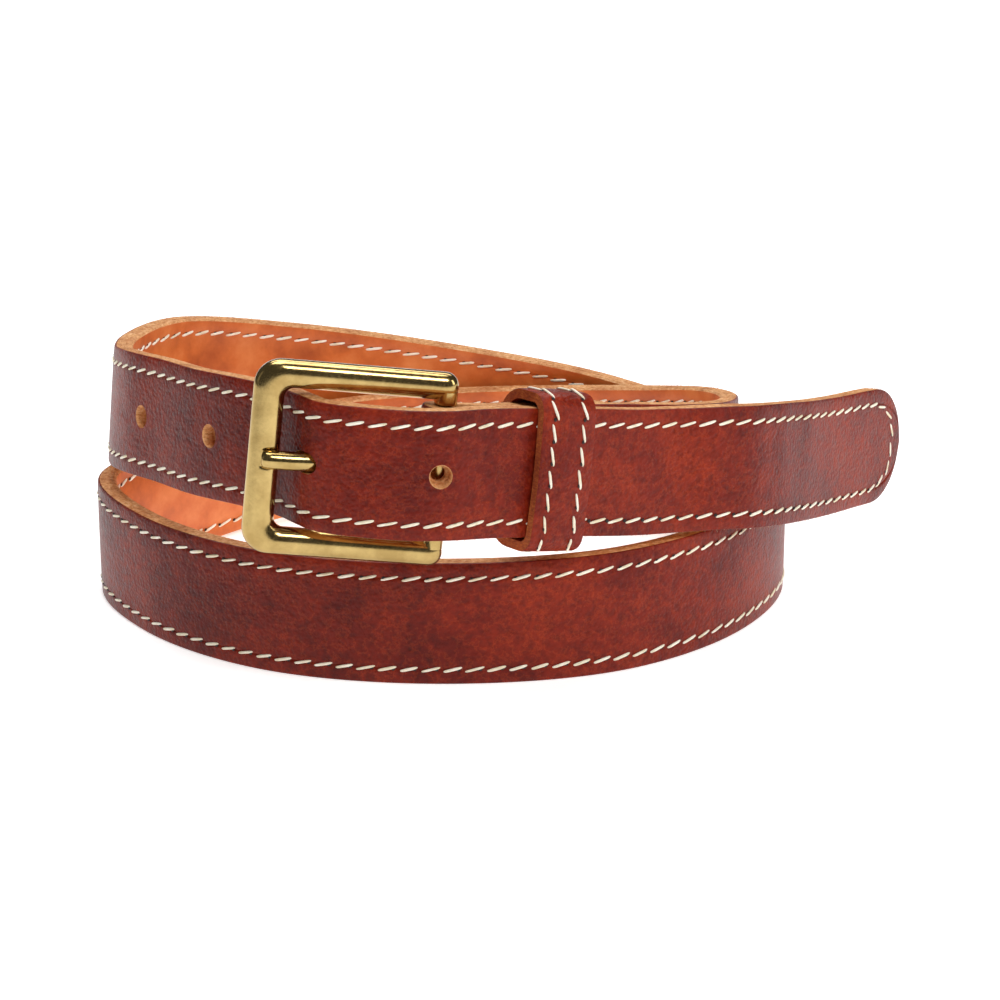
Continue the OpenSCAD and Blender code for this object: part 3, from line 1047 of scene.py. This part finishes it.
    def build_tail(self) -> None:
        """Builds the free end: it bends away from the coil beside the keeper."""
        stuff, fine, inset = self.stuff, self._tip_fine(self.tail), self.strap.row_inset
        narrow = [self._tail_half(s, 0) / self.strap.half for s in fine]
        points, slots = self._face_profile()
        face = swept("tip_face_leather", fine, points, [stuff.bridle, stuff.edge], slots, narrow)
        fibres = self.fuzz.grow("tip_edge_fibres", face, stuff.edge)
        points, slots = self._lining_profile()
        lining = swept("tip_lining", fine, points, [stuff.lining, stuff.edge], slots, narrow)
        ahead = [s for s in fine if self.tail[-1].distance - s.distance > inset + 0.3]
        lines = []
        for side, depth in ((Side.FACE, -self.face_lift), (Side.LINING, self.strap.thick + self.lining_lift)):
            low, high = ([(s.at(v * self._tail_half(s, inset), depth), s.normal * side.value) for s in ahead]
                         for v in (-1, 1))
            lines.append(low + high[::-1])
        rows = self.sewing.sew("tip_stitches", lines, stuff.thread, stuff.needle)
        start, end = (self.route.station(point, 0).mid * MM for point in (SPLIT, BEND_END))
        for piece, slot, node in ((face, "bridle_leather", "tail_face"), (fibres, "bridle_leather", None),
                                  (lining, "lining_leather", "tail_lining"), (rows, "thread", "tail_thread")):
            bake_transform(piece)
            if node:
                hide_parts(node)
            log.info("%s: %d faces", piece.name, len(piece.data.polygons))


def finish_piece(piece: bpy.types.Object, body: str, slot: str, *nodes: str) -> None:
    """Puts a piece on its body and hides the CAD nodes that it stands for.

    Args:
        piece: the finished piece.
        body: the body that it moves with.
        slot: not used.
        *nodes: the CAD nodes that it replaces, if any.
    """
    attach(piece, body)
    if nodes:
        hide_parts(*nodes)
    log.info("%s: %d faces", piece.name, len(piece.data.polygons))


@dataclass
class Keeper:
    """The keeper: a closed band of leather round both laps, with two rows of stitches."""

    strap: Strap
    stuff: Leathers
    sewing: StitchTree
    width: float = 14.0
    leather: float = 2.2
    slack: float = 1.1
    out: float = 0.5
    room: float = 1.9
    corner: float = 4.4
    back_corner: float = 7.5
    bulge: float = 0.5
    row_inset: float = 3.05

    def _outline(self, grow: float, station: Station) -> list:
        """The band's outline at the station, in order round the laps.

        Args:
            grow: distance outside the inner surface, in mm.
            station: the strap's station under the keeper.

        Returns:
            (point, normal) pairs.
        """
        high = self.strap.half + self.slack + grow
        front, back = self.out + grow, self.strap.thick + 2 * self.strap.face + self.room + grow
        near, far = self.corner - self.leather + grow, self.back_corner - self.leather + grow
        spots = []
        for ch, cf, start, r in ((high - near, front - near, 0, near), (-(high - near), front - near, 90, near),
                                 (-(high - far), -(back - far), 180, far), (high - far, -(back - far), 270, far)):
            for k in range(9):
                a = math.radians(start + 90 * k / 8)
                spots.append((ch + r * math.cos(a), cf + r * math.sin(a), a))
        found = []
        for k, (h, f, a) in enumerate(spots):
            found.append((station.mid + station.across * h + station.normal * f,
                          station.across * math.cos(a) + station.normal * math.sin(a)))
            h2, f2, _ = spots[(k + 1) % len(spots)]
            if math.hypot(h2 - h, f2 - f) > 2 and h * h2 < 0:
                swell, normal = (self.bulge, station.normal) if f > 0 else (0.0, -station.normal)
                for m in range(1, 12):
                    t = m / 12
                    lift = swell * math.sin(math.pi * t)
                    found.append((station.mid + station.across * (h + (h2 - h) * t)
                                  + station.normal * (f + (f2 - f) * t + lift), normal))
        return found

    def build(self, station: Station) -> None:
        """Builds the band and its stitches round the strap's station."""
        half = self.width / 2
        outer, inner = self._outline(self.leather, station), self._outline(0, station)
        deep = self.leather
        profile = [(-half, 0.12), (-half + 0.35, 0.0), (0, -0.06), (half - 0.35, 0.0), (half, 0.12),
                   (half - 0.05, 0.5), (half - 0.05, deep), (0, deep), (-half + 0.05, deep), (-half + 0.05, 0.5)]
        slots = [0, 0, 0, 0, 1, 1, 0, 0, 1, 1]
        n, points, uvs, faces, face_slots, run = len(profile), [], [], [], [], 0.0
        for k, ((p, _), (q, _)) in enumerate(zip(outer, inner)):
            run += (p - outer[k - 1][0]).length if k else 0.0
            for v, depth in profile:
                points.append(p.lerp(q, depth / self.leather) + station.along * v)
                uvs.append((run, v))
        for k in range(len(outer)):
            for j in range(n):
                a, b, nxt = k * n + j, k * n + (j + 1) % n, ((k + 1) % len(outer)) * n
                faces.append((a, b, nxt + (j + 1) % n, nxt + j))
                face_slots.append(slots[j])
        band = outward(mesh_object("keeper_band", points, faces, face_slots,
                                   [self.stuff.bridle, self.stuff.dyed_edge], uvs))
        finish_piece(band, "belt", "keeper_leather", "keeper")
        lines = []
        seen = outer[-2:] + outer[:34]
        for side in (-1, 1):
            shift = station.along * side * (half - self.row_inset)
            lines.append([(p + shift + normal * 0.15, normal) for p, normal in seen])
        rows = self.sewing.sew("keeper_stitches", lines, self.stuff.thread, self.stuff.needle, Pitch=4.7)
        finish_piece(rows, "belt", "thread", "keeper_thread")


@dataclass
class Prong:
    """The prong: an eye round the heel bar and a round shank that leans out to the front bar."""

    bar: HeelBar
    stuff: Leathers
    reach: float = 38.1
    radius: float = 2.1
    near_out: float = 1.7
    far_out: float = 3.1
    eye_r: float = 4.2
    eye_w: float = 6.6
    hole_r: float = 1.76
    past: float = 0.5
    bend_from: float = 22.0
    bend: float = 12.0

    def axis_out(self, from_bar: float) -> float:
        """How far the shank's axis stands outside the bar's plane, at a distance from the bar."""
        return self.near_out + (self.far_out - self.near_out) * ease((from_bar - self.bend_from) / self.bend)

    def build(self) -> None:
        """Builds the eye and the shank as one casting."""
        where, end, brass = self.bar.matrix(self.bar.frame_turn), self.reach + self.past, [self.stuff.brass]
        # Distance from the bar and share of the radius: a plain rod, then its rounded end.
        sections = [(x, 1.0) for x in (0.0, 8.0, 14.0, 17.0, 20.0, 22.0, 24.0, 26.0, 28.0, 30.0, 32.0)]
        sections += [(end - 2.2, 1.0), (end - 1.2, 0.96), (end - 0.5, 0.84), (end - 0.12, 0.62), (end, 0.34)]
        rings = [[where @ Vector((-x, self.radius * share * c - self.axis_out(x), self.radius * share * q))
                  for c, q in circle(32)] for x, share in sections]
        shank = tube("prong_casting", rings, brass)
        bore = tube("bore", [[where @ Vector((self.hole_r * c, self.hole_r * q, z)) for c, q in circle(40)]
                             for z in (-self.eye_w, self.eye_w)], brass)
        combined(shank, [self._eye(where)], "UNION")
        combined(shank, [bore], "DIFFERENCE")
        finish_piece(shank, "prong", "prong_brass", "prong")

    def _eye(self, where: Matrix) -> bpy.types.Object:
        """The ring round the heel bar, with rounded rims."""
        rim = self.eye_r - 0.5
        section = [(self.hole_r, -1.0), (rim, -1.0), (self.eye_r, -0.82), (self.eye_r, 0.82), (rim, 1.0),
                   (self.hole_r, 1.0)]
        turn, m = 40, len(section)
        points = [where @ Vector((r * c, r * q, z * self.eye_w / 2)) for c, q in circle(turn) for r, z in section]
        faces = [(k * m + j, k * m + (j + 1) % m, (k + 1) % turn * m + (j + 1) % m, (k + 1) % turn * m + j)
                 for k in range(turn) for j in range(m)]
        return outward(mesh_object("prong_eye", points, faces, [0] * len(faces), [self.stuff.brass]))


@dataclass
class BuckleFrame:
    """The buckle's frame: a domed brass casting, open at the heel, with the heel bar in one piece."""

    bar: HeelBar
    stuff: Leathers
    prong: Prong
    reach: float = 38.1
    front_bar: float = 6.8
    height: float = 43.1
    window: float = 31.0
    thick: float = 5.2
    outer_r: float = 6.0
    inner_r: float = 2.2
    arm_end: float = 2.5
    bar_r: float = 1.7
    lug_r: float = 2.5
    end_round: float = 3.2

    def _corner(self, x: float, h: float, r: float, top: bool) -> list:
        """Points round one front corner of an outline, from the arm to the front bar or back."""
        spots = [(x + r + r * math.cos(a), h - r + r * math.sin(a))
                 for a in (math.radians(d) for d in np.linspace(90, 180, 13))]
        return spots if top else [(px, -pz) for px, pz in reversed(spots)]

    def _outline(self, x: float, h: float, r: float, ticks: list, ups: list) -> list:
        """One outline of the frame, from the end of the upper arm to the end of the lower one.

        Args:
            x: the outline's front edge.
            h: half of its height.
            r: its corner radius.
            ticks: shares along each arm, from its end to the corner.
            ups: shares along the front bar.

        Returns:
            (x, z) points, equally many for every outline.
        """
        start = self.arm_end
        arm = [(start + (x + r - start) * t, h) for t in ticks]
        front = [(x, (h - r) * u) for u in ups]
        lower = [(px, -pz) for px, pz in reversed(arm)]
        return arm + self._corner(x, h, r, True) + front + self._corner(x, h, r, False) + lower

    def _section(self, outer: tuple, inner: tuple, where: Matrix) -> list:
        """One ring round the frame's bar, domed outside and flatter inside.

        Args:
            outer: (x, z) on the outer outline.
            inner: (x, z) on the inner outline.
            where: the frame's place.

        Returns:
            The ring's points.
        """
        (ox, oz), (ix, iz) = outer, inner
        full = min(1.0, max(0.0, (self.arm_end - ox) / self.end_round))
        share = math.sqrt(max(0.02, 1 - (1 - full) ** 2.4))
        groove = self.prong.radius + 0.15
        ring = []
        for c, s in circle(28):
            across = math.copysign(abs(c) ** 0.82, c) * share
            lift = math.copysign(abs(s) ** (1.0 if s > 0 else 0.5), s) * self.thick / 2 * share
            x = (ox + ix) / 2 + (ox - ix) / 2 * across
            z = (oz + iz) / 2 + (oz - iz) / 2 * across
            notched = -self.reach - self.prong.past + 0.5 < x < -self.reach + self.front_bar
            if lift > 0 and abs(z) < groove and notched:
                lift = min(lift, self.prong.axis_out(-x) - math.sqrt(groove**2 - z**2))
            ring.append(where @ Vector((x, -lift, z)))
        return ring

    def build(self) -> None:
        """Builds the frame with its heel bar, and the notch that holds the prong's tip."""
        # Stations stand closer at the arms' rounded ends and at the notch.
        ticks = [0.12 * (1 - math.cos(math.pi / 2 * k / 8)) for k in range(8)]
        ticks += list(np.linspace(0.13, 0.98, 14))
        ups = [u for a, b, count in ((0.96, 0.2, 9), (0.17, -0.17, 19), (-0.2, -0.96, 9))
               for u in np.linspace(a, b, count)]
        out = self._outline(-self.reach - self.front_bar / 2, self.height / 2, self.outer_r, ticks, ups)
        inn = self._outline(-self.reach + self.front_bar / 2, self.window / 2, self.inner_r, ticks, ups)
        where = self.bar.matrix(self.bar.frame_turn)
        rings = [self._section(outer, inner, where) for outer, inner in zip(out, inn)]
        frame = tube("buckle_casting", rings, [self.stuff.brass], 0, 60)
        combined(frame, [self._heel_bar(where)], "UNION", 50)
        finish_piece(frame, "buckle", "brass", "buckle_frame")

    def _heel_bar(self, where: Matrix) -> bpy.types.Object:
        """The round heel bar with a short thicker lug at each arm."""
        high, lug = self.window / 2 + 2.0, self.window / 2 - 1.2
        rings = [[where @ Vector((r * c, r * q, z)) for c, q in circle(32)] for z, r in (
            (-high, self.lug_r), (-lug - 0.4, self.lug_r), (-lug, self.bar_r), (lug, self.bar_r),
            (lug + 0.4, self.lug_r), (high, self.lug_r))]
        return tube("heel_bar", rings, [self.stuff.brass])


# ---- Studio ----------------------------------------------------------------------------------


@dataclass
class Studio:
    """White table, soft boxes and the camera, in metres and watts."""

    camera_at: tuple = (-0.0013, -0.668, 0.2367)
    tilt: float = 72.36
    lens: float = 104.7
    world: float = 0.09
    glow: float = 0.55
    # Each soft box: name, place, the point it looks at, width and height, power.
    boxes: tuple = (
        ("key_box", (0.3, -0.75, 0.95), (0, 0, 0.03), (0.45, 0.35), 6.0),
        ("top_box", (-0.1, 0.2, 1.1), (0, 0.1, 0), (0.7, 0.6), 6.5),
        ("left_box", (-0.9, -0.2, 0.4), (0, 0, 0.03), (0.25, 0.5), 0.1),
        ("far_box", (0.0, 1.3, 1.3), (0, 1.1, 0), (1.6, 0.6), 12.0),
        ("right_box", (0.9, -0.3, 0.45), (0, 0, 0.03), (0.3, 0.6), 2.4),
    )

    def _light(self, name: str, place: tuple, aim: tuple, size: tuple, power: float) -> None:
        """Hangs a white soft box.

        Args:
            name: the light's name.
            place: where it hangs.
            aim: the point it looks at.
            size: its width and height.
            power: its power.
        """
        data = bpy.data.lights.new(name, "AREA")
        data.shape, data.size, data.size_y = "RECTANGLE", size[0], size[1]
        data.energy = power
        lamp = bpy.data.objects.new(name, data)
        lamp.location = place
        lamp.rotation_euler = (Vector(aim) - Vector(place)).to_track_quat("-Z", "Y").to_euler()
        bpy.context.scene.collection.objects.link(lamp)

    def _table(self) -> None:
        """Builds the white table top, which glows a little."""
        bpy.ops.mesh.primitive_plane_add(size=8, location=(0, 0, 0))
        floor = bpy.context.object
        floor.name = "table_top"
        material, _, _ = Finish("white_table").start(
            Base_Color=(0.9, 0.9, 0.9, 1), Roughness=0.9, Specular_IOR_Level=0.1,
            Emission_Color=(1, 1, 1, 1), Emission_Strength=self.glow)
        floor.data.materials.append(material)

    def build(self) -> None:
        """Builds the table, the lights, the room's light and the camera."""
        scene = bpy.context.scene
        self._table()
        scene.view_settings.view_transform = "Standard"
        scene.world = bpy.data.worlds.new("white_room")
        scene.world.use_nodes = True
        back = scene.world.node_tree.nodes["Background"]
        back.inputs["Color"].default_value = (1, 1, 1, 1)
        back.inputs["Strength"].default_value = self.world
        for box in self.boxes:
            self._light(*box)
        data = bpy.data.cameras.new("camera")
        data.lens, data.sensor_width = self.lens, 36
        camera = bpy.data.objects.new("camera", data)
        camera.location = self.camera_at
        camera.rotation_euler = (math.radians(self.tilt), 0, 0)
        scene.collection.objects.link(camera)
        scene.camera = camera


def main() -> None:
    """Builds the belt piece by piece, dresses it and sets up the studio."""
    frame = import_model()
    stuff = Leathers(
        bridle=BridleLeather("bridle_leather_waxed").build(),
        lining=LiningLeather("lining_leather_oiled").build(),
        edge=CutEdge("cut_leather_edge").build(),
        dyed_edge=CutEdge("dyed_leather_edge", "#7c3414", "#a8501f", "#c47238").build(),
        thread=WaxedThread("waxed_linen_thread").build(),
        # The needle holes' material is painted shade: near black where the holes fall into shade.
        needle=NeedleHoleShade("needle_hole_shade").build(),
        brass=SatinBrass("satin_cast_brass").build())
    strap, bar, sewing = Strap(), HeelBar(), StitchTree()
    prong = Prong(bar, stuff)
    maker = StrapMaker(strap, bar, stuff, sewing, FibreTree())
    maker.build_main(prong)
    maker.build_tail()
    Keeper(strap, stuff, sewing).build(maker.route.station(KEEPER_POINT, KEEPER_SHARE))
    prong.build()
    BuckleFrame(bar, stuff, prong).build()
    Studio().build()
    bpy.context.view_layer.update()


if __name__ == "__main__":
    main()
